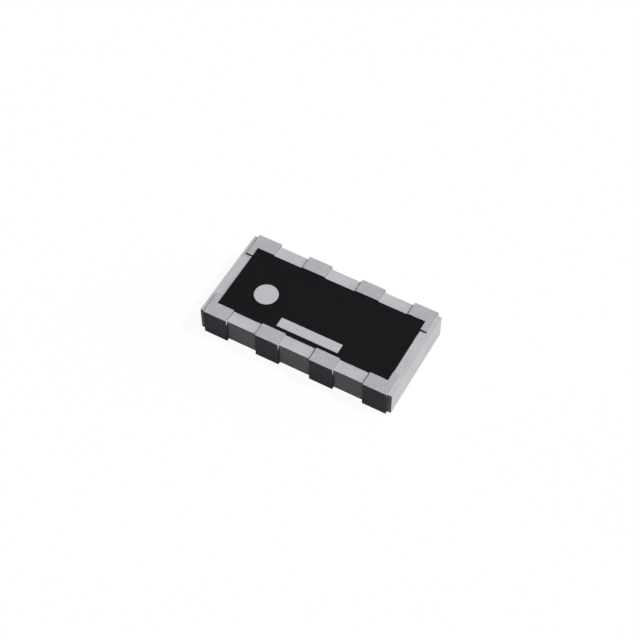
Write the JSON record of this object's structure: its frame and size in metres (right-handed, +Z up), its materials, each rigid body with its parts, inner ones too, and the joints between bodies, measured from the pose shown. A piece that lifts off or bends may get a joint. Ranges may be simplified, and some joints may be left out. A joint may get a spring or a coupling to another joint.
{
  "type": "chip resistor network",
  "caption": "Flat surface-mount resistor chip: pale ceramic body, wrap-around metal terminals along both long sides, black coated top with an index dot and a bar.",
  "frame": {"origin": "centre of the seating plane, under the terminals", "axes": "+X along the chip away from the index dot, +Y towards the rear row of terminals, +Z up through the coated face"},
  "size_m": [0.0032, 0.0016, 0.0005],
  "materials": {
    "alumina": "fine fired alumina",
    "tin_plate": "matte tin over nickel",
    "silver_print": "fired silver print",
    "resistor_film": "fired resistor print",
    "undercoat_glass": "fired glass print",
    "black_coat": "cured black resin print",
    "marking_ink": "cured pale ink"
  },
  "bodies": {
    "root": {"ceramic_base": "alumina", "terminal_1": "tin_plate", "terminal_2": "tin_plate", "terminal_3": "tin_plate", "terminal_4": "tin_plate", "terminal_5": "tin_plate", "terminal_6": "tin_plate", "terminal_7": "tin_plate", "terminal_8": "tin_plate", "conductor_1": "silver_print", "conductor_2": "silver_print", "conductor_3": "silver_print", "conductor_4": "silver_print", "conductor_5": "silver_print", "conductor_6": "silver_print", "conductor_7": "silver_print", "conductor_8": "silver_print", "resistor_1": "resistor_film", "resistor_2": "resistor_film", "resistor_3": "resistor_film", "resistor_4": "resistor_film", "glass_undercoat": "undercoat_glass", "overcoat": "black_coat", "index_dot": "marking_ink", "marking_bar": "marking_ink"}
  },
  "joints": []
}
